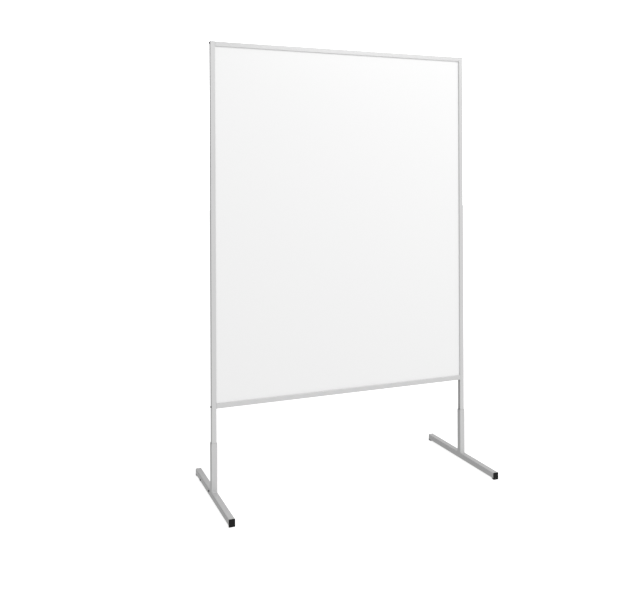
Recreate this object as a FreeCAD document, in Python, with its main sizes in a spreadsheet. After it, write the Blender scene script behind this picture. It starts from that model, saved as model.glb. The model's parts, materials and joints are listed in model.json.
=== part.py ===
"""Free-standing whiteboard on two T-feet.

A framed panel hangs between two uprights. The uprights run down into square sleeves,
which are welded to foot tubes that lie front to back on four plastic glides.

X runs along the board, Y from its writing side to its back, and Z is up.
The origin is on the floor, under the middle of the board.
Lengths are in millimetres.
"""

import FreeCAD, Part
import os

import Sketcher
from FreeCAD import Rotation, Vector

SIZES = [
    # board
    ("board_width", 1200, "over the outer faces of the uprights"),
    ("board_height", 1500, "from under the bottom rail to the top"),
    ("board_clearance", 370, "from the floor to the bottom rail"),
    # frame profile
    ("profile_size", 20, "side of the square frame profile"),
    ("profile_corner", 1.5, "outer corner radius of the frame profile"),
    ("profile_wall", 1.5, "wall of the frame profile"),
    ("groove_depth", 6, "depth of the groove that holds the panel"),
    # panel
    ("skin_thickness", 0.5, "steel sheet on each face of the panel"),
    ("core_thickness", 9, "board between the two sheets"),
    ("panel_side_gap", 0.2, "between a panel face and its groove wall"),
    ("panel_end_gap", 1, "between the panel's edge and the groove floor"),
    # pan-head screws, which hold the rails and sit in the sides of the feet
    ("pan_screw_radius", 2, "shank of a pan-head screw"),
    ("pan_head_radius", 4.1, "head of a pan-head screw"),
    ("pan_head_height", 3, "head of a pan-head screw"),
    ("pan_head_edge", 1.3, "rounding of a pan head"),
    ("thread_gap", 0.05, "between a thread and the hole it is cut in"),
    # corner joints
    ("block_length", 25, "corner block in each end of a rail"),
    ("plug_gap", 0.1, "between a push-in plug and the profile's chamber"),
    ("rail_screw_length", 36, "from under its head to its tip"),
    ("rail_screw_gap", 0.25, "around a rail screw where it passes the upright"),
    # closures of the uprights
    ("top_cap_flange", 1.5, "flange of the cap on an upright"),
    ("foot_plug_flange", 2, "flange of the plug under an upright"),
    ("plug_length", 14, "how far a cap or plug reaches into the upright"),
    # square tube of the feet
    ("tube_wall", 2, "wall of the sleeve and of the foot tube"),
    ("tube_corner", 2.5, "outer corner radius of the sleeve and the foot tube"),
    ("sleeve_gap", 0.5, "between the upright and its sleeve, each side"),
    ("sleeve_length", 200, "sleeve above the foot tube"),
    ("foot_length", 550, "foot over its end caps"),
    ("weld_leg", 3, "fillet weld between sleeve and foot tube"),
    # end caps of the feet
    ("glide_drop", 5, "from the foot tube down to the floor"),
    ("glide_flat", 10, "part of the glide that lies on the floor"),
    ("glide_slope", 6, "part of the glide that rises to the tube"),
    ("foot_cap_flange", 3, "end wall of a foot cap"),
    ("foot_cap_plug", 18, "how far a foot cap reaches into its tube"),
    ("foot_cap_gap", 0.2, "between a foot cap and the inside of its tube"),
    ("foot_cap_wall", 2.5, "wall of the part of the cap inside the tube"),
    ("foot_cap_edge", 1.2, "rounding of a foot cap's outer edges"),
    # side screws in the outer side of each foot tube
    ("side_screw_length", 8, "from under its head to its tip"),
    ("near_screw_back", 32, "nearer screw, behind the upright's centre"),
    ("near_screw_rise", 18, "nearer screw, above the tube's underside"),
    ("far_screw_back", 185, "farther screw, behind the upright's centre"),
    ("far_screw_rise", 7, "farther screw, above the tube's underside"),
    # lock screw in the back of each sleeve
    ("lock_height", 130, "above the top of the foot tube"),
    ("lock_radius", 3, "shank of a lock screw"),
    ("lock_head_radius", 5.2, "button head of a lock screw"),
    ("lock_head_height", 3.2, "button head of a lock screw"),
    ("lock_head_edge", 1.5, "rounding of a lock screw's head"),
    ("lock_tip_gap", 0.05, "between the screw's tip and the upright"),
    ("lock_hole_gap", 0.3, "around a lock screw in the sleeve's wall"),
    ("nut_width", 10, "across the flats of a lock nut"),
    ("nut_height", 5, "lock nut"),
    ("nut_to_head", 1.2, "between a lock nut and the screw's head"),
    # drive recesses
    ("cross_length", 4.6, "arm of the cross in a pan head"),
    ("cross_width", 1, "arm of the cross in a pan head"),
    ("cross_depth", 1.6, "cross in a pan head"),
    ("hex_radius", 2.3, "corners of the hexagon in a lock screw's head"),
    ("hex_depth", 2, "hexagon in a lock screw's head"),
]

# Places and sizes that follow from the sheet, as expressions over its cells.
BOARD_TOP = "(sizes.board_clearance + sizes.board_height)"
UPRIGHT_X = "(sizes.board_width / 2 - sizes.profile_size / 2)"
RAIL_HALF = "(sizes.board_width / 2 - sizes.profile_size)"
TUBE_SIZE = "(sizes.profile_size + 2 * sizes.sleeve_gap + 2 * sizes.tube_wall)"
TUBE_BORE = "(sizes.profile_size + 2 * sizes.sleeve_gap)"
TUBE_TOP = f"(sizes.glide_drop + {TUBE_SIZE})"
UPRIGHT_FOOT = f"({TUBE_TOP} + sizes.foot_plug_flange)"
UPRIGHT_TOP = f"({BOARD_TOP} - sizes.top_cap_flange)"

PANEL_THICKNESS = "(sizes.core_thickness + 2 * sizes.skin_thickness)"
PANEL_HALF = f"({RAIL_HALF} + sizes.groove_depth - sizes.panel_end_gap)"
PANEL_LOW = "(sizes.board_clearance + sizes.profile_size - sizes.groove_depth)"
PANEL_HIGH = f"({BOARD_TOP} - sizes.profile_size + sizes.groove_depth - sizes.panel_end_gap)"
GROOVE_WIDTH = f"({PANEL_THICKNESS} + 2 * sizes.panel_side_gap)"

# The closed chamber behind the groove, in the profile's own axes: the groove faces +X.
CHAMBER_BACK = "(sizes.profile_size / 2 - sizes.profile_wall)"
CHAMBER_DEPTH = "(sizes.profile_size - 2 * sizes.profile_wall - sizes.groove_depth)"
CHAMBER_WIDTH = "(sizes.profile_size - 2 * sizes.profile_wall)"
CHAMBER_MIDDLE = f"({CHAMBER_DEPTH} / 2 - {CHAMBER_BACK})"
BOTTOM_SCREW_Z = f"(sizes.board_clearance + sizes.profile_size / 2 + {CHAMBER_MIDDLE})"
TOP_SCREW_Z = f"({BOARD_TOP} - sizes.profile_size / 2 - {CHAMBER_MIDDLE})"

FOOT_TUBE_HALF = "(sizes.foot_length / 2 - sizes.foot_cap_flange)"
LOCK_Z = f"({TUBE_TOP} + sizes.lock_height)"

SIDES = (("left", -1), ("right", 1))
ENDS = (("front", -1), ("rear", 1))

SAME_PLACE = 1e-6  # points nearer than this lie in one plane
SAME_LINE = 0.999  # cosine above which two directions count as one
SKETCH_START = 5  # half side of a sketched rectangle before its constraints size it


def turned(x_to, y_to, z_to):
    """The rotation that takes a piece's own axes to the three given directions."""
    return Rotation(Vector(*x_to), Vector(*y_to), Vector(*z_to), "ZXY")


HALF_TURN = Rotation(Vector(0, 0, 1), 180)
RAIL_GROOVE_UP = turned((0, 0, 1), (0, -1, 0), (1, 0, 0))
RAIL_GROOVE_DOWN = turned((0, 0, -1), (0, 1, 0), (1, 0, 0))
LYING_BACKWARD = turned((1, 0, 0), (0, 0, -1), (0, 1, 0))
LYING_FORWARD = turned((1, 0, 0), (0, 0, 1), (0, -1, 0))
TOWARDS_RIGHT = turned((0, 1, 0), (0, 0, 1), (1, 0, 0))
TOWARDS_LEFT = turned((0, -1, 0), (0, 0, 1), (-1, 0, 0))

doc = FreeCAD.newDocument("whiteboard")
sub_parts = []


def fill_sheet():
    """Put every driving size in the sheet, under its own alias."""
    sheet = doc.addObject("Spreadsheet::Sheet", "sizes")
    for row, (alias, value, meaning) in enumerate(SIZES, start=1):
        sheet.set(f"A{row}", meaning)
        sheet.set(f"B{row}", str(value))
        sheet.setAlias(f"B{row}", alias)
    doc.recompute()


def bind(thing, **formulas):
    """Tie properties to expressions; a double underscore stands for a dot."""
    for name, formula in formulas.items():
        thing.setExpression(name.replace("__", "."), formula)
    return thing


def place(thing, x="0", y="0", z="0", turn=None):
    """Turn a piece, then tie its place to expressions."""
    thing.Placement = FreeCAD.Placement(Vector(), turn or Rotation())
    return bind(thing, Placement__Base__x=x, Placement__Base__y=y, Placement__Base__z=z)


def keep(thing, label):
    """Name a finished sub-part and list it for writing."""
    thing.Label = label
    sub_parts.append(thing)
    return thing


# ---- solids from primitives -------------------------------------------------


def box(length, width, height, x="0", y="0", z="0"):
    """A block with its low corner at x, y, z."""
    block = doc.addObject("Part::Box", "block")
    bind(block, Length=length, Width=width, Height=height)
    return place(block, x, y, z)


def middle_box(length, width, height, x="0", y="0", z="0"):
    """A block centred on x and y that stands on z."""
    return box(length, width, height, f"{x} - {length} / 2", f"{y} - {width} / 2", z)


def rod(radius, length, x="0", y="0", z="0", turn=None):
    """A round bar that starts at x, y, z and runs along the turned Z axis."""
    bar = doc.addObject("Part::Cylinder", "rod")
    bind(bar, Radius=radius, Height=length)
    return place(bar, x, y, z, turn)


def hexagon(corner_radius, length, x="0", y="0", z="0", turn=None):
    """A six-sided bar that starts at x, y, z and runs along the turned Z axis."""
    bar = doc.addObject("Part::Prism", "hexagon")
    bar.Polygon = 6
    bind(bar, Circumradius=corner_radius, Height=length)
    return place(bar, x, y, z, turn)


def fused(*pieces):
    joined = doc.addObject("Part::MultiFuse", "joined")
    joined.Shapes = list(pieces)
    return joined


def cut(base, *tools):
    remainder = doc.addObject("Part::Cut", "remainder")
    remainder.Base = base
    remainder.Tool = tools[0] if len(tools) == 1 else fused(*tools)
    return remainder


def group(*pieces):
    """Separate solids that make one sub-part."""
    together = doc.addObject("Part::Compound", "group")
    together.Links = list(pieces)
    return together


def rounded(base, alias, wanted):
    """Round the edges for which wanted(edge) holds, by a radius from the sheet."""
    doc.recompute()
    radius = float(doc.getObject("sizes").get(alias))
    soft = doc.addObject("Part::Fillet", "soft_edges")
    soft.Base = base
    numbers = [n for n, edge in enumerate(base.Shape.Edges, start=1) if wanted(edge)]
    soft.Edges = [(n, radius, radius) for n in numbers]
    return soft


def along(*direction):
    """A test for straight edges that run along a direction."""
    def wanted(edge):
        straight = isinstance(edge.Curve, Part.Line)
        return straight and abs(edge.Curve.Direction.dot(Vector(*direction))) > SAME_LINE
    return wanted


def flat_at(axis, height):
    """A test for edges that lie in the plane at a height along an axis (0, 1, 2)."""
    def wanted(edge):
        return all(abs(vertex.Point[axis] - height) < SAME_PLACE for vertex in edge.Vertexes)
    return wanted


# ---- extruded profiles ------------------------------------------------------


def rectangle(body, name, low_x, width, height):
    """A sketched rectangle on the body's XY plane, from low_x and centred on Y = 0."""
    sketch = body.newObject("Sketcher::SketchObject", name)
    ground = [plane for plane in body.Origin.OriginFeatures if plane.Role == "XY_Plane"]
    sketch.AttachmentSupport = (ground[0], "")
    sketch.MapMode = "FlatFace"
    signs = ((-1, -1), (1, -1), (1, 1), (-1, 1))
    corners = [Vector(SKETCH_START * across, SKETCH_START * up) for across, up in signs]
    for line, corner in enumerate(corners):
        sketch.addGeometry(Part.LineSegment(corner, corners[(line + 1) % 4]), False)
    for line in range(4):
        sketch.addConstraint(Sketcher.Constraint("Coincident", line, 2, (line + 1) % 4, 1))
    for line, lie in enumerate(("Horizontal", "Vertical", "Horizontal")):
        sketch.addConstraint(Sketcher.Constraint(lie, line))
    sketch.addConstraint(Sketcher.Constraint("Symmetric", 0, 1, 3, 1, -1))
    sized = (
        ("width", Sketcher.Constraint("DistanceX", 0, 1, 0, 2, 2 * SKETCH_START), width),
        ("height", Sketcher.Constraint("DistanceY", 1, 1, 1, 2, 2 * SKETCH_START), height),
        ("low_x", Sketcher.Constraint("DistanceX", -1, 1, 0, 1, -SKETCH_START), low_x),
    )
    for title, constraint, formula in sized:
        number = sketch.addConstraint(constraint)
        sketch.renameConstraint(number, title)
        sketch.setExpression(f"Constraints.{title}", formula)
    return sketch


def extruded(size, corner, length):
    """A square bar on the XY plane, centred on Z, with its long edges rounded."""
    body = doc.addObject("PartDesign::Body", "profile")
    outline = rectangle(body, "outline", f"-{size} / 2", size, size)
    pad = body.newObject("PartDesign::Pad", "bar")
    pad.Profile = outline
    bind(pad, Length=length)
    doc.recompute()
    long_edges = [
        f"Edge{n}" for n, edge in enumerate(pad.Shape.Edges, start=1) if along(0, 0, 1)(edge)
    ]
    fillet = body.newObject("PartDesign::Fillet", "long_edges")
    fillet.Base = (pad, long_edges)
    bind(fillet, Radius=corner)
    doc.recompute()
    return body


def hollow(body, name, low_x, width, height):
    """Cut a rectangular channel through the whole length of an extruded bar."""
    opening = rectangle(body, name, low_x, width, height)
    channel = body.newObject("PartDesign::Pocket", f"{name}_channel")
    channel.Profile = opening
    channel.Type = "ThroughAll"
    channel.Reversed = True
    doc.recompute()
    before = channel.BaseFeature.Shape.Volume
    if channel.Shape.Volume >= before:
        raise RuntimeError(f"{name} removes nothing")
    return body


def frame_profile(length):
    """The frame's profile: a groove that faces +X and a closed chamber behind it."""
    body = extruded("sizes.profile_size", "sizes.profile_corner", length)
    groove_floor = "(sizes.profile_size / 2 - sizes.groove_depth)"
    hollow(body, "groove", groove_floor, "sizes.groove_depth", GROOVE_WIDTH)
    hollow(body, "chamber", f"-{CHAMBER_BACK}", CHAMBER_DEPTH, CHAMBER_WIDTH)
    return body


def square_tube(length):
    """The square tube that both the sleeves and the feet are cut from."""
    body = extruded(TUBE_SIZE, "sizes.tube_corner", length)
    return hollow(body, "bore", f"-{TUBE_BORE} / 2", TUBE_BORE, TUBE_BORE)


# ---- board and frame --------------------------------------------------------


def panel():
    """Three flat sheets, bonded face to face, standing in the bottom rail's groove."""
    front = f"-{PANEL_THICKNESS} / 2"
    sheets = (
        ("writing_sheet", front, "sizes.skin_thickness"),
        ("panel_core", f"{front} + sizes.skin_thickness", "sizes.core_thickness"),
        ("backing_sheet", "sizes.core_thickness / 2", "sizes.skin_thickness"),
    )
    for label, y, thickness in sheets:
        sheet = box(
            f"2 * {PANEL_HALF}", thickness, f"{PANEL_HIGH} - {PANEL_LOW}",
            x=f"-{PANEL_HALF}", y=y, z=PANEL_LOW,
        )
        keep(sheet, label)


def screw_hole(sign, height):
    """The bar that drills an upright, from side to side, for a rail screw."""
    return rod("sizes.pan_screw_radius + sizes.rail_screw_gap", "2 * sizes.profile_size",
               f"{sign} * {UPRIGHT_X} - sizes.profile_size", z=height, turn=TOWARDS_RIGHT)


def uprights():
    """One profile on each side, its groove facing the panel, drilled for the rail screws."""
    for side, sign in SIDES:
        profile = frame_profile(f"{UPRIGHT_TOP} - {UPRIGHT_FOOT}")
        place(profile, f"{sign} * {UPRIGHT_X}", z=UPRIGHT_FOOT, turn=HALF_TURN if sign > 0 else None)
        holes = [screw_hole(sign, height) for height in (BOTTOM_SCREW_Z, TOP_SCREW_Z)]
        keep(cut(profile, *holes), f"{side}_upright")


def rails():
    """The same profile between the uprights, with the grooves facing the panel."""
    rows = (
        ("bottom_rail", RAIL_GROOVE_UP, "sizes.board_clearance + sizes.profile_size / 2"),
        ("top_rail", RAIL_GROOVE_DOWN, f"{BOARD_TOP} - sizes.profile_size / 2"),
    )
    for label, turn, height in rows:
        rail = frame_profile(f"2 * {RAIL_HALF}")
        keep(place(rail, f"-{RAIL_HALF}", z=height, turn=turn), label)


def corner_blocks():
    """A block pushed into each end of each rail, bored for its screw."""
    thickness = f"({CHAMBER_DEPTH} - 2 * sizes.plug_gap)"
    width = f"({CHAMBER_WIDTH} - 2 * sizes.plug_gap)"
    bore = "sizes.pan_screw_radius + sizes.thread_gap"
    for row, height in (("bottom", BOTTOM_SCREW_Z), ("top", TOP_SCREW_Z)):
        for side, sign in SIDES:
            outer = f"{sign} * {RAIL_HALF}"
            low_x = f"{outer} - sizes.block_length" if sign > 0 else outer
            block = box("sizes.block_length", width, thickness,
                        low_x, f"-{width} / 2", f"{height} - {thickness} / 2")
            drill = rod(bore, "3 * sizes.block_length", f"{outer} - 1.5 * sizes.block_length",
                        z=height, turn=TOWARDS_RIGHT)
            keep(cut(block, drill), f"{row}_{side}_corner_block")


def pan_screw(length, x, y, z, turn):
    """A pan-head screw along the turned Z axis, its shank starting at x, y, z."""
    shank = rod("sizes.pan_screw_radius", length)
    head = rod("sizes.pan_head_radius", "sizes.pan_head_height", z="-sizes.pan_head_height")
    doc.recompute()
    crown = rounded(head, "pan_head_edge", flat_at(2, -head.Height.Value))
    arms = [
        middle_box(arm_length, arm_width, "sizes.cross_depth", z="-sizes.pan_head_height")
        for arm_length, arm_width in (("sizes.cross_length", "sizes.cross_width"),
                                      ("sizes.cross_width", "sizes.cross_length"))
    ]
    return place(cut(fused(crown, shank), *arms), x, y, z, turn)


def rail_screws():
    """Two screws a side, through the upright into the rails' corner blocks."""
    for side, sign in SIDES:
        turn = TOWARDS_LEFT if sign > 0 else TOWARDS_RIGHT
        outer = f"{sign} * sizes.board_width / 2"
        screws = [
            pan_screw("sizes.rail_screw_length", outer, "0", height, turn)
            for height in (BOTTOM_SCREW_Z, TOP_SCREW_Z)
        ]
        keep(group(*screws), f"{side}_rail_screws")


def upright_closures():
    """A cap in the top and a plug in the bottom of each upright, flush with its sides.

    The top rail screw passes through the cap's stem and keeps it in.
    """
    thickness = f"({CHAMBER_DEPTH} - 2 * sizes.plug_gap)"
    width = f"({CHAMBER_WIDTH} - 2 * sizes.plug_gap)"
    for side, sign in SIDES:
        middle = f"{sign} * {UPRIGHT_X}"
        stem_x = f"{middle} - {sign} * {CHAMBER_MIDDLE}"
        rows = (
            ("top_cap", "sizes.top_cap_flange", UPRIGHT_TOP, f"{UPRIGHT_TOP} - sizes.plug_length"),
            ("foot_plug", "sizes.foot_plug_flange", TUBE_TOP, UPRIGHT_FOOT),
        )
        for name, flange_height, flange_z, stem_z in rows:
            flange = middle_box("sizes.profile_size", "sizes.profile_size", flange_height,
                                middle, z=flange_z)
            flange = rounded(flange, "profile_corner", along(0, 0, 1))
            stem = middle_box(thickness, width, "sizes.plug_length", stem_x, z=stem_z)
            if name == "top_cap":
                stem = cut(stem, screw_hole(sign, TOP_SCREW_Z))
            keep(fused(flange, stem), f"{side}_upright_{name}")


# ---- feet -------------------------------------------------------------------


def side_screw_places():
    """How far back and how high the two side screws of a foot sit."""
    return (
        ("sizes.near_screw_back", "sizes.glide_drop + sizes.near_screw_rise"),
        ("sizes.far_screw_back", "sizes.glide_drop + sizes.far_screw_rise"),
    )


def foot_tubes():
    """A tube front to back under each upright, tapped in its outer side for two screws."""
    tap_radius = "sizes.pan_screw_radius + sizes.thread_gap"
    tap_length = f"{TUBE_SIZE} / 2 + sizes.tube_wall"
    for side, sign in SIDES:
        middle = f"{sign} * {UPRIGHT_X}"
        outward = TOWARDS_RIGHT if sign > 0 else TOWARDS_LEFT
        tube = square_tube(f"2 * {FOOT_TUBE_HALF}")
        place(tube, middle, f"-{FOOT_TUBE_HALF}", f"sizes.glide_drop + {TUBE_SIZE} / 2",
              LYING_BACKWARD)
        taps = [
            rod(tap_radius, tap_length, middle, back, height, outward)
            for back, height in side_screw_places()
        ]
        keep(cut(tube, *taps), f"{side}_foot_tube")


def foot_side_screws():
    """Two short pan-head screws in the outer side of each foot tube."""
    for side, sign in SIDES:
        outer = f"{sign} * ({UPRIGHT_X} + {TUBE_SIZE} / 2)"
        inward = TOWARDS_LEFT if sign > 0 else TOWARDS_RIGHT
        screws = [
            pan_screw("sizes.side_screw_length", outer, back, height, inward)
            for back, height in side_screw_places()
        ]
        keep(group(*screws), f"{side}_foot_side_screws")


def foot_sleeves():
    """The sleeve that stands on each foot tube, drilled in its back for the lock screw."""
    for side, sign in SIDES:
        middle = f"{sign} * {UPRIGHT_X}"
        sleeve = place(square_tube("sizes.sleeve_length"), middle, z=TUBE_TOP)
        drill = rod("sizes.lock_radius + sizes.lock_hole_gap", TUBE_SIZE, middle, z=LOCK_Z,
                    turn=LYING_BACKWARD)
        keep(cut(sleeve, drill), f"{side}_foot_sleeve")


def foot_welds():
    """A quarter-round bead across the front and the back of each sleeve's lower end."""
    length = f"({TUBE_SIZE} - 2 * sizes.tube_corner)"
    turns = (("-", turned((0, 0, 1), (0, -1, 0), (1, 0, 0))),
             ("", turned((0, 1, 0), (0, 0, 1), (1, 0, 0))))
    for side, sign in SIDES:
        beads = []
        for minus, turn in turns:
            bead = rod("sizes.weld_leg", length, f"{sign} * {UPRIGHT_X} - {length} / 2",
                       f"{minus}{TUBE_SIZE} / 2", TUBE_TOP, turn)
            bead.Angle = 90
            beads.append(bead)
        keep(group(*beads), f"{side}_foot_welds")


def foot_cap():
    """An end cap in its own axes: the tube's end is at Y = 0 and the tube runs along +Y."""
    flange = middle_box(TUBE_SIZE, "sizes.foot_cap_flange", TUBE_TOP, y="-sizes.foot_cap_flange / 2")
    flange = rounded(flange, "tube_corner", along(0, 1, 0))
    doc.recompute()
    flange = rounded(flange, "foot_cap_edge", flat_at(1, flange.Shape.BoundBox.YMin))
    glide_width = f"({TUBE_SIZE} - 2 * sizes.tube_corner)"
    flat = middle_box(glide_width, "sizes.glide_flat", "sizes.glide_drop", y="sizes.glide_flat / 2")
    slope = doc.addObject("Part::Wedge", "slope")
    bind(slope, Xmin="0", X2min="0", Ymin="0", Zmin="0", Z2min="sizes.glide_drop",
         Xmax=glide_width, X2max=glide_width, Ymax="sizes.glide_slope",
         Zmax="sizes.glide_drop", Z2max="sizes.glide_drop")
    place(slope, f"-{glide_width} / 2", "sizes.glide_flat")
    outside = f"({TUBE_BORE} - 2 * sizes.foot_cap_gap)"
    inside = f"({outside} - 2 * sizes.foot_cap_wall)"
    plug_z = "sizes.glide_drop + sizes.tube_wall + sizes.foot_cap_gap"
    plug = middle_box(outside, "sizes.foot_cap_plug", outside, y="sizes.foot_cap_plug / 2", z=plug_z)
    plug = rounded(plug, "foot_cap_edge", along(0, 1, 0))
    pocket = middle_box(inside, "sizes.foot_cap_plug", inside, y="sizes.foot_cap_plug / 2",
                        z=f"{plug_z} + sizes.foot_cap_wall")
    return fused(flange, flat, slope, cut(plug, pocket))


def foot_caps():
    """A cap in both ends of both foot tubes."""
    for side, sign in SIDES:
        for end, direction in ENDS:
            cap = place(foot_cap(), f"{sign} * {UPRIGHT_X}", f"{direction} * {FOOT_TUBE_HALF}",
                        turn=HALF_TURN if direction > 0 else None)
            keep(cap, f"{side}_foot_{end}_cap")


def lock_screws():
    """A button-head screw through a nut on the back of each sleeve, up to the upright."""
    tip_y = "(sizes.profile_size / 2 + sizes.lock_tip_gap)"
    nut_y = f"({TUBE_SIZE} / 2)"
    head_y = f"({nut_y} + sizes.nut_height + sizes.nut_to_head)"
    for side, sign in SIDES:
        middle = f"{sign} * {UPRIGHT_X}"
        shank = rod("sizes.lock_radius", f"{head_y} - {tip_y}", middle, tip_y, LOCK_Z, LYING_BACKWARD)
        head = rod("sizes.lock_head_radius", "sizes.lock_head_height", middle, head_y, LOCK_Z,
                   LYING_BACKWARD)
        doc.recompute()
        crown = rounded(head, "lock_head_edge", flat_at(1, head.Shape.BoundBox.YMax))
        socket = hexagon("sizes.hex_radius", "2 * sizes.hex_depth", middle,
                         f"{head_y} + sizes.lock_head_height - sizes.hex_depth", LOCK_Z,
                         LYING_BACKWARD)
        keep(cut(fused(shank, crown), socket), f"{side}_lock_screw")
        nut = hexagon("sizes.nut_width / sqrt(3)", "sizes.nut_height", middle, nut_y, LOCK_Z,
                      LYING_BACKWARD)
        bore = rod("sizes.lock_radius + sizes.thread_gap", "sizes.nut_height", middle, nut_y,
                   LOCK_Z, LYING_BACKWARD)
        keep(cut(nut, bore), f"{side}_lock_nut")


def check():
    """Stop if any object failed, or if a sub-part has no sound solid."""
    for thing in doc.Objects:
        if {"Invalid", "Error"} & set(thing.State):
            raise RuntimeError(f"{thing.Name} failed: {thing.State}")
    for thing in sub_parts:
        shape = thing.Shape
        if shape.isNull() or not shape.isValid() or not shape.Solids:
            raise RuntimeError(f"{thing.Label} has no sound solid")


def write():
    """Write each sub-part to its own file."""
    os.makedirs("parts", exist_ok=True)
    for thing in sub_parts:
        thing.Shape.exportStep(f"parts/{thing.Label}.step")


fill_sheet()
panel()
uprights()
rails()
corner_blocks()
rail_screws()
upright_closures()
foot_tubes()
foot_side_screws()
foot_sleeves()
foot_welds()
foot_caps()
lock_screws()
doc.recompute()
check()
write()
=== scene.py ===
"""Studio scene of a free-standing whiteboard on two T-feet.

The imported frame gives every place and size, in metres: X runs along the board,
Y from the writing side to the back, and Z is up.
"""

import json
import math

import bpy
import numpy as np
from mathutils import Matrix, Vector

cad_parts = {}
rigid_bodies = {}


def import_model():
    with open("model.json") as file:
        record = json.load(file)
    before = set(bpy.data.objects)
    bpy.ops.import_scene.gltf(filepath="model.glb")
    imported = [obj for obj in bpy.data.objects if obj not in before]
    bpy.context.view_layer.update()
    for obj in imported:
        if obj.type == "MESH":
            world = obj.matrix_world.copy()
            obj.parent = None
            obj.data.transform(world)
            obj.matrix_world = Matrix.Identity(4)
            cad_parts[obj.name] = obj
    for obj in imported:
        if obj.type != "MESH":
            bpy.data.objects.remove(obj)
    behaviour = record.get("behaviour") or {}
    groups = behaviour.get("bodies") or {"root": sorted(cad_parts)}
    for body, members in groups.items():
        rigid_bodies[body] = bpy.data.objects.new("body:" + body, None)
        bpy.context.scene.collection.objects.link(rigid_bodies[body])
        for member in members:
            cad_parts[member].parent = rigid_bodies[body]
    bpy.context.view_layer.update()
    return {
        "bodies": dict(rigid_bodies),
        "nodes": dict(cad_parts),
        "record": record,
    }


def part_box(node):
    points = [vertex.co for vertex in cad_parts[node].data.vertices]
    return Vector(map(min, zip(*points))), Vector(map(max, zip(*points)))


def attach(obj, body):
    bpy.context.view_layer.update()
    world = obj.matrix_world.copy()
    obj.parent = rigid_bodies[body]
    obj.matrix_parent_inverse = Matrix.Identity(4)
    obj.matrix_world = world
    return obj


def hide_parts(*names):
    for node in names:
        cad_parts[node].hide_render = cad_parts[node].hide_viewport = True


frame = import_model()
SLOTS = {part["node"]: part["material_slot"] for part in frame["record"]["subparts"]}
MM = 0.001


def body_with(node):
    """The name of the body that a CAD node belongs to."""
    bodies = frame["record"]["behaviour"]["bodies"]
    return next(name for name, members in bodies.items() if node in members)


def corners_of(node):
    """The lowest and the highest corner of a CAD node, as arrays."""
    low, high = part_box(node)
    return np.array(low), np.array(high)


def add_object(name, data):
    """An object of the scene for a mesh, a light or a camera."""
    thing = bpy.data.objects.new(name, data)
    bpy.context.scene.collection.objects.link(thing)
    return thing


# ---- node helpers -----------------------------------------------------------


class Net:
    """A node tree with short ways to add nodes and to join them."""

    def __init__(self, tree):
        self.tree = tree

    def add(self, kind, inputs=None, **settings):
        """A new node with its settings, and its inputs joined or set."""
        node = self.tree.nodes.new(kind)
        for name, value in settings.items():
            setattr(node, name, value)
        for socket, value in (inputs or {}).items():
            self.feed(node.inputs[socket], value)
        return node

    def feed(self, socket, value):
        """Join an output to the socket, or set the socket to a value."""
        if isinstance(value, bpy.types.NodeSocket):
            self.tree.links.new(value, socket)
        else:
            socket.default_value = value

    def maths(self, operation, a, b=0.0, c=0.0):
        """One operation on up to three numbers."""
        node = self.add("ShaderNodeMath", operation=operation)
        for socket, value in zip(node.inputs, (a, b, c)):
            self.feed(socket, value)
        return node.outputs[0]

    def ramp(self, value, low, high, to_low=0.0, to_high=1.0):
        """value carried from low..high to to_low..to_high, and held at the ends."""
        node = self.add("ShaderNodeMapRange", clamp=True)
        for socket, number in zip(node.inputs, (value, low, high, to_low, to_high)):
            self.feed(socket, number)
        return node.outputs[0]

    def blend(self, share, first, second):
        """first colour where share is 0, and second where it is 1."""
        node = self.add("ShaderNodeMix", data_type="RGBA")
        self.feed(node.inputs[0], share)
        self.feed(node.inputs[6], first)
        self.feed(node.inputs[7], second)
        return node.outputs[2]

    def noise(self, place, scale, detail=2.0, roughness=0.5):
        """Cloudy noise from 0 to 1, with about scale lumps in a metre."""
        node = self.add("ShaderNodeTexNoise")
        self.feed(node.inputs["Vector"], place)
        for name, value in (("Scale", scale), ("Detail", detail), ("Roughness", roughness)):
            self.feed(node.inputs[name], value)
        return node.outputs["Fac"]

    def stretched(self, place, scale):
        """The place scaled differently along X, Y and Z."""
        node = self.add("ShaderNodeMapping", {"Vector": place})
        node.inputs["Scale"].default_value = scale
        return node.outputs[0]


def new_group(name, inputs, outputs):
    """An empty shader node group. Gives its tree, net, input sockets and output node."""
    tree = bpy.data.node_groups.new(name, "ShaderNodeTree")
    for title, kind, default in inputs:
        socket = tree.interface.new_socket(title, in_out="INPUT", socket_type=kind)
        socket.default_value = default
    for title, kind in outputs:
        tree.interface.new_socket(title, in_out="OUTPUT", socket_type=kind)
    net = Net(tree)
    start = net.add("NodeGroupInput")
    end = net.add("NodeGroupOutput")
    return tree, net, start.outputs, end


def object_place(net):
    """The point's place on the object, in metres."""
    return net.add("ShaderNodeTexCoord").outputs["Object"]


FLOAT = "NodeSocketFloat"


# ---- effects that several materials share -----------------------------------


def make_moulded_grain():
    """Fine isotropic grain: a height for bump and a small change of roughness."""
    tree, net, given, end = new_group(
        "moulded_grain",
        [("Grains per metre", FLOAT, 900.0), ("Roughness", FLOAT, 0.5), ("Spread", FLOAT, 0.1)],
        [("Height", FLOAT), ("Roughness", FLOAT)],
    )
    place = object_place(net)
    grain = net.noise(place, given["Grains per metre"], detail=3.0, roughness=0.6)
    patches = net.noise(place, 22.0, detail=3.0, roughness=0.55)
    net.feed(end.inputs["Height"], grain)
    centred = net.maths("SUBTRACT", patches, 0.5)
    rough = net.maths("MULTIPLY_ADD", centred, given["Spread"], given["Roughness"])
    net.feed(end.inputs["Roughness"], rough)
    return tree


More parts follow.
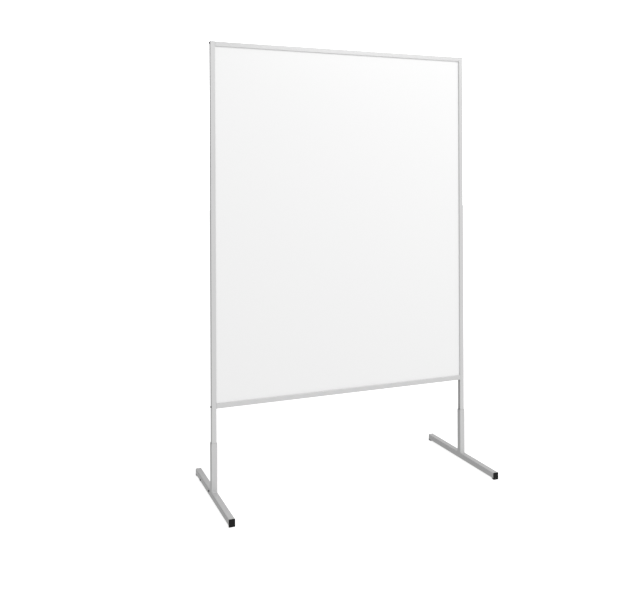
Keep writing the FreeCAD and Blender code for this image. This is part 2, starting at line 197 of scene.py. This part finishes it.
def make_drawn_lines():
    """Lines left by a die along one axis: long along the piece and fine across it."""
    tree, net, given, end = new_group(
        "drawn_lines",
        [("Across X", FLOAT, 2600.0), ("Across Y", FLOAT, 2600.0), ("Across Z", FLOAT, 4.0),
         ("Roughness", FLOAT, 0.3), ("Spread", FLOAT, 0.12)],
        [("Height", FLOAT), ("Roughness", FLOAT), ("Streaks", FLOAT)],
    )
    place = object_place(net)
    scale = net.add("ShaderNodeCombineXYZ")
    for socket, name in zip(scale.inputs, ("Across X", "Across Y", "Across Z")):
        net.feed(socket, given[name])
    drawn = net.add("ShaderNodeVectorMath", operation="MULTIPLY")
    net.feed(drawn.inputs[0], place)
    net.feed(drawn.inputs[1], scale.outputs[0])
    lines = net.noise(drawn.outputs[0], 1.0, detail=2.0, roughness=0.6)
    clouds = net.noise(place, 6.0, detail=3.0, roughness=0.6)
    both = net.maths("ADD", net.maths("SUBTRACT", lines, 0.5), net.maths("SUBTRACT", clouds, 0.5))
    rough = net.maths("MULTIPLY_ADD", both, given["Spread"], given["Roughness"])
    net.feed(end.inputs["Height"], lines)
    net.feed(end.inputs["Roughness"], rough)
    net.feed(end.inputs["Streaks"], lines)
    return tree


def make_floor_scuffs():
    """Scuffs and dust near the floor: full at its level and gone above a height."""
    tree, net, given, end = new_group(
        "floor_scuffs",
        [("Reach", FLOAT, 0.03), ("Amount", FLOAT, 0.5)],
        [("Mask", FLOAT)],
    )
    place = object_place(net)
    height = net.add("ShaderNodeSeparateXYZ", {0: place}).outputs["Z"]
    low = net.maths("SUBTRACT", 1.0, net.ramp(height, 0.0, given["Reach"]))
    marks = net.ramp(net.noise(place, 240.0, detail=5.0, roughness=0.7), 0.48, 0.62)
    worn = net.maths("MULTIPLY", low, marks)
    net.feed(end.inputs["Mask"], net.maths("MULTIPLY", worn, given["Amount"]))
    return tree


moulded_grain = make_moulded_grain()
drawn_lines = make_drawn_lines()
floor_scuffs = make_floor_scuffs()


# ---- materials --------------------------------------------------------------


def new_material(name, **constants):
    """A Principled material. Constants go on the shader's own sockets."""
    material = bpy.data.materials.new(name)
    material.use_nodes = True
    net = Net(material.node_tree)
    shader = next(n for n in net.tree.nodes if n.type == "BSDF_PRINCIPLED")
    for title, value in constants.items():
        shader.inputs[title.replace("_", " ")].default_value = value
    return material, net, shader


def add_group(net, tree, **values):
    """The outputs of a shared effect, with its inputs given by name."""
    node = net.add("ShaderNodeGroup", node_tree=tree)
    for title, value in values.items():
        net.feed(node.inputs[title.replace("_", " ")], value)
    return node.outputs


def bump(net, shader, height, depth):
    """Bump of a depth in metres, on the shader's normal."""
    node = net.add("ShaderNodeBump", {"Height": height, "Distance": depth})
    net.feed(shader.inputs["Normal"], node.outputs[0])


def grey(level, warm=0.0):
    """A grey, with a share of red added and the same share of blue taken away."""
    return (level * (1 + warm), level, level * (1 - warm), 1.0)


def writing_enamel():
    """White enamel: very even, with wiped streaks in its gloss and a trace of old ink."""
    material, net, shader = new_material("writing_enamel", Coat_Weight=0.35, Coat_Roughness=0.08)
    place = object_place(net)
    clean, inked, most_ink = grey(0.86), (0.77, 0.785, 0.805, 1.0), 0.02
    wiped = net.noise(net.stretched(place, (3.0, 1.0, 11.0)), 1.0, detail=4.0, roughness=0.55)
    cloud = net.noise(place, 2.3, detail=3.0)
    haze = net.maths("MULTIPLY", net.ramp(wiped, 0.52, 0.78), net.ramp(cloud, 0.42, 0.66))
    ink = net.maths("MULTIPLY", haze, most_ink)
    net.feed(shader.inputs["Base Color"], net.blend(ink, clean, inked))
    net.feed(shader.inputs["Roughness"], net.ramp(wiped, 0.3, 0.75, to_low=0.28, to_high=0.30))
    bump(net, shader, net.noise(place, 340.0), 0.04 * MM)
    return material


def frame_aluminium(name, across):
    """Satin anodised extrusion: pale grey, with across lines per metre along X, Y and Z."""
    material, net, shader = new_material(name, Metallic=0.35)
    lines = add_group(net, drawn_lines, Across_X=across[0], Across_Y=across[1],
                      Across_Z=across[2], Roughness=0.36, Spread=0.16)
    net.feed(shader.inputs["Base Color"], net.blend(lines["Streaks"], grey(0.58), grey(0.66)))
    net.feed(shader.inputs["Roughness"], lines["Roughness"])
    bump(net, shader, lines["Height"], 0.02 * MM)
    return material


def foot_lacquer():
    """Silver-grey powder coat with a light orange peel, dusty near the floor."""
    material, net, shader = new_material("foot_lacquer", Metallic=0.25)
    grain = add_group(net, moulded_grain, Grains_per_metre=620.0, Roughness=0.40, Spread=0.15)
    scuffs = add_group(net, floor_scuffs, Reach=0.022, Amount=0.5)
    flake = net.noise(object_place(net), 2600.0, detail=1.0)
    paint, dust = net.blend(flake, grey(0.54), grey(0.63)), grey(0.42, warm=0.03)
    net.feed(shader.inputs["Base Color"], net.blend(scuffs["Mask"], paint, dust))
    net.feed(shader.inputs["Roughness"], grain["Roughness"])
    bump(net, shader, grain["Height"], 0.06 * MM)
    return material


def moulded_plastic(name, level, roughness, scuff):
    """Moulded plastic with a spark-eroded grain, scuffed paler where it meets the floor."""
    material, net, shader = new_material(name, Specular_IOR_Level=0.14)
    grain = add_group(net, moulded_grain, Grains_per_metre=1500.0, Roughness=roughness, Spread=0.12)
    scuffs = add_group(net, floor_scuffs, Reach=0.002, Amount=scuff)
    scuffed = grey(level + 0.10, warm=0.02)
    net.feed(shader.inputs["Base Color"], net.blend(scuffs["Mask"], grey(level), scuffed))
    net.feed(shader.inputs["Roughness"], grain["Roughness"])
    bump(net, shader, grain["Height"], 0.05 * MM)
    return material


def plated(name, level, roughness, metallic=1.0):
    """Plated steel of screws and nuts, mottled by its bath."""
    material, net, shader = new_material(name, Metallic=metallic)
    grain = add_group(net, moulded_grain, Grains_per_metre=2400.0, Roughness=roughness, Spread=0.2)
    stain, stained = net.noise(object_place(net), 400.0, detail=3.0), grey(level * 0.7)
    net.feed(shader.inputs["Base Color"], net.blend(stain, grey(level), stained))
    net.feed(shader.inputs["Roughness"], grain["Roughness"])
    bump(net, shader, grain["Height"], 0.02 * MM)
    return material


def backing_zinc():
    """Galvanised sheet: ragged crystals about 13 mm wide, each its own grey."""
    material, net, shader = new_material("backing_zinc", Metallic=0.85)
    place = object_place(net)
    ragged = net.add("ShaderNodeTexNoise", {"Vector": place, "Scale": 60.0})
    warp = net.add("ShaderNodeVectorMath", operation="MULTIPLY_ADD")
    net.feed(warp.inputs[0], ragged.outputs["Color"])
    warp.inputs[1].default_value = (6 * MM, 6 * MM, 6 * MM)
    net.feed(warp.inputs[2], place)
    cells = net.add("ShaderNodeTexVoronoi", {"Vector": warp.outputs[0], "Scale": 75.0})
    tone = net.add("ShaderNodeSeparateColor", {0: cells.outputs["Color"]}).outputs[0]
    net.feed(shader.inputs["Base Color"], net.blend(tone, grey(0.52), grey(0.64)))
    net.feed(shader.inputs["Roughness"], net.ramp(tone, 0.0, 1.0, to_low=0.38, to_high=0.52))
    bump(net, shader, tone, 0.01 * MM)
    return material


def particle_board():
    """Pressed chips, pale and dark, lying flat."""
    material, net, shader = new_material("core_board", Roughness=0.85)
    place = object_place(net)
    laid = net.stretched(place, (260.0, 900.0, 420.0))
    chips = net.add("ShaderNodeTexVoronoi", {"Vector": laid, "Scale": 1.0})
    tone = net.add("ShaderNodeSeparateColor", {0: chips.outputs["Color"]}).outputs[0]
    dark, pale = (0.36, 0.25, 0.14, 1.0), (0.62, 0.49, 0.33, 1.0)
    net.feed(shader.inputs["Base Color"], net.blend(tone, dark, pale))
    bump(net, shader, tone, 0.2 * MM)
    return material


FINE, LONG = 2600.0, 5.0  # die lines per metre, across a profile and along it
upright_metal = frame_aluminium("upright_aluminium", (FINE, FINE, LONG))
rail_metal = frame_aluminium("rail_aluminium", (LONG, FINE, FINE))
MATERIALS = {
    "writing_enamel": writing_enamel(),
    "core_board": particle_board(),
    "backing_zinc": backing_zinc(),
    "frame_aluminium": upright_metal,
    "corner_casting": plated("corner_casting", level=0.5, roughness=0.6),
    "cap_grey": moulded_plastic("cap_grey", level=0.33, roughness=0.5, scuff=0.0),
    "foot_lacquer": foot_lacquer(),
    "foot_cap_black": moulded_plastic("foot_cap_black", level=0.009, roughness=0.42, scuff=0.5),
    "screw_black": plated("screw_black", level=0.04, roughness=0.45, metallic=0.3),
    "nut_zinc": plated("nut_zinc", level=0.5, roughness=0.3),
}


def dress_cad_nodes():
    """Give every CAD node the procedural material of its slot."""
    for name, thing in frame["nodes"].items():
        material = rail_metal if name.endswith("_rail") else MATERIALS[SLOTS[name]]
        for slot in thing.material_slots:
            slot.material = material


# ---- shapes -----------------------------------------------------------------

ARC_POINTS = 7  # on each quarter circle of a section
EDGE_STEPS = 4  # rings that round a cut end
SHARP_FROM = math.radians(40)  # faces that meet at more than this keep a hard edge
LEFT, RIGHT, UP, DOWN = (-1, 0, 0), (1, 0, 0), (0, 0, 1), (0, 0, -1)


def arc(centre, radius, start, stop, count=ARC_POINTS):
    """Points centre + radius * (cos t, sin t), with t evenly from start to stop degrees."""
    turn = np.radians(np.linspace(start, stop, count))
    return np.column_stack((centre[0] + radius * np.cos(turn), centre[1] + radius * np.sin(turn)))


def rounded_square(half, radius):
    """A square loop whose corners are quarter circles."""
    reach = half - radius
    centres = ((reach, reach), (-reach, reach), (-reach, -reach), (reach, -reach))
    return np.vstack([arc(c, radius, 90 * k, 90 * k + 90) for k, c in enumerate(centres)])


def mirrored(upper):
    """A loop from its upper half: the half itself, then its mirror image run backwards."""
    return np.vstack((upper, upper[::-1] * (1, -1)))


def offset(loop, distance):
    """Each point of a loop moved along its outward normal, a right angle from the chord
    between its two neighbours."""
    chord = np.roll(loop, -1, axis=0) - np.roll(loop, 1, axis=0)
    normal = np.column_stack((chord[:, 1], -chord[:, 0]))
    return loop + distance * normal / np.linalg.norm(normal, axis=1, keepdims=True)


def wall_rings(outer, inner, length, soft):
    """A hollow bar as rings that go once round its wall: up the outside and down the bore.

    Near each end the rings follow a quarter circle of radius soft, so with t from 0 to 90
    degrees they are soft * (1 - sin t) into the wall and soft * (1 - cos t) from the end.
    """
    turn = np.radians(np.linspace(0, 90, EDGE_STEPS))
    into, along = soft * (1 - np.sin(turn)), soft * (1 - np.cos(turn))
    rows = [(outer, -i, a) for i, a in zip(into, along)]
    rows += [(outer, -i, length - a) for i, a in zip(into[::-1], along[::-1])]
    rows += [(inner, i, length - a) for i, a in zip(into, along)]
    rows += [(inner, i, a) for i, a in zip(into[::-1], along[::-1])]
    loops = [np.column_stack((offset(loop, d), np.full(len(loop), t))) for loop, d, t in rows]
    return np.array(loops)


def wrapped_quads(rings, points):
    """Faces of a grid that closes on itself both ways."""
    index = np.arange(rings * points).reshape(rings, points)
    ahead = np.roll(index, -1, axis=0)
    faces = np.stack((index, np.roll(index, -1, axis=1), np.roll(ahead, -1, axis=1), ahead), axis=-1)
    return faces.reshape(-1, 4)


def outward(points, faces):
    """The faces, turned round if the volume that they enclose comes out negative."""
    a, b, c, d = (points[faces[:, k]] for k in range(4))
    volume = (a * np.cross(b, c)).sum() + (a * np.cross(c, d)).sum()
    return faces if volume > 0 else faces[:, ::-1]


def new_piece(name, points, faces, node, material=None):
    """A mesh object that stands for a CAD node: same body, same slot and same finish."""
    mesh = bpy.data.meshes.new(name)
    mesh.from_pydata(points.tolist(), [], outward(points, faces).tolist())
    mesh.shade_smooth()
    mesh.set_sharp_from_angle(angle=SHARP_FROM)
    mesh.materials.append(material or MATERIALS[SLOTS[node]])
    thing = add_object(name, mesh)
    normals = thing.modifiers.new("flat sides", "WEIGHTED_NORMAL")
    normals.keep_sharp = True
    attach(thing, body_with(node))
    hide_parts(node)


def bar(name, node, outer, inner, faces_to, soft, material=None):
    """A hollow section, in millimetres, carried along a node's longest side.

    Its first axis faces faces_to, and the radius of its cut ends is soft.
    """
    low, high = corners_of(node)
    run = np.eye(3)[np.argmax(high - low)]
    first = np.array(faces_to, float)
    second = np.cross(run, first)
    middle = (low + high) / 2
    start = middle - run * (middle - low)
    rings = wall_rings(outer * MM, inner * MM, ((high - low) * run).sum(), soft * MM)
    points = start + rings.reshape(-1, 3) @ np.array((first, second, run))
    new_piece(name, points, wrapped_quads(*rings.shape[:2]), node, material)


# ---- frame ------------------------------------------------------------------


def frame_section():
    """The frame's outline and its closed chamber, in millimetres, the groove facing +X.

    Both loops have the same number of points: the chamber's front corner has as many as
    the lip, the groove and the outer corner beside it.
    """
    half, corner, wall = 10.0, 1.5, 1.5
    groove_half, groove_floor = 5.2, 4.0
    groove_fillet, lip, chamber_corner = 0.3, 0.5, 0.4
    reach = half - corner
    outline = np.vstack((
        arc((groove_floor + groove_fillet, groove_half - groove_fillet), groove_fillet, 180, 90),
        arc((half - lip, groove_half + lip), lip, -90, 0),
        arc((reach, reach), corner, 0, 90),
        arc((-reach, reach), corner, 90, 180),
    ))
    edge = half - wall - chamber_corner
    front = groove_floor - wall - chamber_corner
    chamber = np.vstack((
        arc((front, edge), chamber_corner, 0, 90, 3 * ARC_POINTS),
        arc((-edge, edge), chamber_corner, 90, 180),
    ))
    return mirrored(outline), mirrored(chamber)


def frame_bars():
    """Four lengths of one extrusion, their sawn ends lightly deburred."""
    outline, chamber = frame_section()
    deburring = 0.25
    rows = (
        ("left_upright_extrusion", "left_upright", RIGHT, upright_metal),
        ("right_upright_extrusion", "right_upright", LEFT, upright_metal),
        ("bottom_rail_extrusion", "bottom_rail", UP, rail_metal),
        ("top_rail_extrusion", "top_rail", DOWN, rail_metal),
    )
    for name, node, faces_to, material in rows:
        bar(name, node, outline, chamber, faces_to, deburring, material)


def panel_sheets():
    """The enamelled and the galvanised sheet, each bowed a little where its bond is uneven.

    With u and v from 0 to 1 across and up the sheet, it stands proud of the panel by
    0.12 mm * sin(pi u) * sin(pi v) * (0.5 + 0.25 sin(7 u + 4 v) + 0.25 sin(5 v - 9 u + 2)),
    which is nothing at its edges, where the frame holds it.
    """
    proud = 0.12 * MM
    across, upward = 56, 70
    u, v = np.meshgrid(np.linspace(0, 1, across), np.linspace(0, 1, upward), indexing="ij")
    swell = 0.5 + 0.25 * np.sin(7 * u + 4 * v) + 0.25 * np.sin(5 * v - 9 * u + 2)
    rise = proud * np.sin(np.pi * u) * np.sin(np.pi * v) * swell
    index = np.arange(u.size).reshape(u.shape)
    grid = np.stack((index[:-1, :-1], index[1:, :-1], index[1:, 1:], index[:-1, 1:]), axis=-1)
    grid = grid.reshape(-1, 4)
    rim = np.concatenate((index[:-1, 0], index[-1, :-1], index[:0:-1, -1], index[0, :0:-1]))
    rim_ahead = np.roll(rim, -1)
    side = np.stack((rim_ahead, rim, rim + u.size, rim_ahead + u.size), axis=-1)
    faces = np.vstack((grid, grid[:, ::-1] + u.size, side))
    rows = (("writing_face", "writing_sheet", -1), ("backing_face", "backing_sheet", 1))
    for name, node, outer in rows:
        low, high = corners_of(node)
        flat = low + np.stack((u, np.zeros_like(u), v), axis=-1) * (high - low)
        shown, bonded = flat.copy(), flat.copy()
        shown[..., 1] = (low if outer < 0 else high)[1] + outer * rise
        bonded[..., 1] = (high if outer < 0 else low)[1]
        new_piece(name, np.vstack((shown.reshape(-1, 3), bonded.reshape(-1, 3))), faces, node)


# ---- feet -------------------------------------------------------------------


def foot_pipes():
    """Sleeve and foot tube of each foot: square tube with a drawn corner and soft cut ends."""
    half, wall, corner, bore_corner = 12.5, 2.0, 2.5, 0.6
    sleeve_end, tube_end = 0.5, 0.3
    outer, inner = rounded_square(half, corner), rounded_square(half - wall, bore_corner)
    for side in ("left", "right"):
        bar(f"{side}_sleeve_pipe", f"{side}_foot_sleeve", outer, inner, RIGHT, sleeve_end)
        bar(f"{side}_foot_pipe", f"{side}_foot_tube", outer, inner, RIGHT, tube_end)


def weld_bead(start, out, length, leg):
    """One bead along X from start, heaped out from the sleeve and up from the foot tube.

    At s along it and at an angle a up from the tube, its radius is
    leg * (0.86 + 0.14 |sin(pi s / pitch + 0.9 sin a)|) * (1 - (2 s / length - 1)^6) ^ 0.5,
    scales that bulge forward, and ends that run out round.
    """
    pitch, steps, spokes, tip = 2.3 * MM, 73, 11, 0.04
    s = np.linspace(tip, 1 - tip, steps)[:, None] * length
    a = np.linspace(0, np.pi / 2, spokes)[None, :]
    scales = 0.86 + 0.14 * np.abs(np.sin(np.pi * s / pitch + 0.9 * np.sin(a)))
    radius = leg * scales * np.sqrt(1 - (2 * s / length - 1) ** 6)
    arcs = np.stack((s + 0 * a, out * radius * np.cos(a), radius * np.sin(a)), axis=-1)
    root = np.column_stack((s[:, 0], np.zeros(steps), np.zeros(steps)))[:, None, :]
    return np.array(start) + np.concatenate((arcs, root), axis=1)


def bead_faces(steps, around):
    """Quads along a bead, and over each end a ladder of quads from one side of its ring
    to the other."""
    index = np.arange(steps * around).reshape(steps, around)
    turned = np.roll(index, -1, axis=1)
    along = np.stack((index[:-1], turned[:-1], turned[1:], index[1:]), axis=-1).reshape(-1, 4)
    rung = np.arange(around // 2 - 1)
    ladder = np.stack((rung, rung + 1, around - 2 - rung, around - 1 - rung), axis=-1)
    return np.vstack((along, ladder[:, ::-1], ladder + (steps - 1) * around))


def weld_beads():
    """The front and the rear bead of each foot, in one mesh."""
    for side in ("left", "right"):
        node = f"{side}_foot_welds"
        low, high = corners_of(node)
        leg, length = high[2] - low[2], high[0] - low[0]
        points, faces = [], []
        for back, out in ((low[1] + leg, -1), (high[1] - leg, 1)):
            rings = weld_bead((low[0], back, low[2]), out, length, leg)
            bead = rings.reshape(-1, 3)
            faces.append(outward(bead, bead_faces(*rings.shape[:2])) + len(bead) * len(points))
            points.append(bead)
        new_piece(f"{side}_weld_beads", np.vstack(points), np.vstack(faces), node)


# ---- stage ------------------------------------------------------------------


def floor():
    """A plain pale floor, far wider than the object, that glows a little of its own.

    It stays level with the lower foot, so a foot that is drawn off isn't hidden by it.
    """
    half = 30.0
    corners = np.array([(-half, -half, 0), (half, -half, 0), (half, half, 0), (-half, half, 0)])
    mesh = bpy.data.meshes.new("floor")
    mesh.from_pydata(corners.tolist(), [], [(0, 1, 2, 3)])
    thing = add_object("floor", mesh)
    material, _, shader = new_material("floor_paint", Roughness=0.9, Base_Color=grey(0.85))
    shader.inputs["Emission Color"].default_value = grey(1.0)
    shader.inputs["Emission Strength"].default_value = 0.60
    mesh.materials.append(material)
    thing.visible_diffuse = False
    thing.visible_glossy = False
    thing.visible_shadow = False
    for foot in ("left_foot", "right_foot"):
        under = thing.constraints.new("FLOOR")
        under.target = frame["bodies"][foot]
        under.floor_location = "FLOOR_NEGATIVE_Z"


def softbox(name, place, target, side, power):
    """A square area lamp at place, aimed at target, with its side in metres."""
    light = bpy.data.lights.new(name, "AREA")
    light.shape = "RECTANGLE"
    light.size, light.size_y = side, side
    light.energy = power
    lamp = add_object(name, light)
    lamp.location = place
    lamp.rotation_euler = (Vector(target) - Vector(place)).to_track_quat("-Z", "Y").to_euler()


def studio():
    """White surroundings whose light comes mostly from the front right, and two soft lamps.

    As a source of light the surroundings are an even part plus a part that grows along
    one direction; the camera sees them plain white.
    """
    even, towards, glow_seen = 0.68, (0.12, -0.27, -0.04), 2.0
    world = bpy.data.worlds.new("studio")
    world.use_nodes = True
    bpy.context.scene.world = world
    net = Net(world.node_tree)
    back = next(n for n in net.tree.nodes if n.type == "BACKGROUND")
    seen = net.add("ShaderNodeLightPath").outputs["Is Camera Ray"]
    slope = net.add("ShaderNodeVectorMath", operation="DOT_PRODUCT")
    net.feed(slope.inputs[0], net.add("ShaderNodeTexCoord").outputs["Generated"])
    slope.inputs[1].default_value = towards
    lit = net.maths("ADD", slope.outputs["Value"], even)
    strength = net.maths("MULTIPLY_ADD", seen, glow_seen, lit)
    net.feed(back.inputs["Color"], grey(1.0))
    net.feed(back.inputs["Strength"], strength)
    softbox("high_softbox", (1.9, -3.0, 4.0), (0.2, 0.0, 1.3), side=2.4, power=66.0)
    softbox("back_softbox", (1.8, 4.2, 3.8), (0.0, 0.0, 1.1), side=2.4, power=22.0)


def camera():
    """Level, to the left of the board, with the lens shifted down to take in the feet."""
    place = Vector((-1.356, -3.035, 1.300))
    yaw, roll = math.radians(22.00), math.radians(-0.24)
    forward = Vector((math.sin(yaw), math.cos(yaw), 0.0))
    right = Vector((math.cos(yaw), -math.sin(yaw), 0.0))
    up = Vector((0.0, 0.0, 1.0))
    level_right = right * math.cos(roll) + up * math.sin(roll)
    level_up = up * math.cos(roll) - right * math.sin(roll)
    turn = Matrix((level_right, level_up, -forward)).transposed().to_4x4()
    lens = bpy.data.cameras.new("camera")
    lens.lens = 43.09
    lens.shift_y = -0.1847
    thing = add_object("camera", lens)
    thing.matrix_world = Matrix.Translation(place) @ turn
    bpy.context.scene.camera = thing


bpy.context.scene.view_settings.view_transform = "Standard"
dress_cad_nodes()
frame_bars()
panel_sheets()
foot_pipes()
weld_beads()
floor()
studio()
camera()
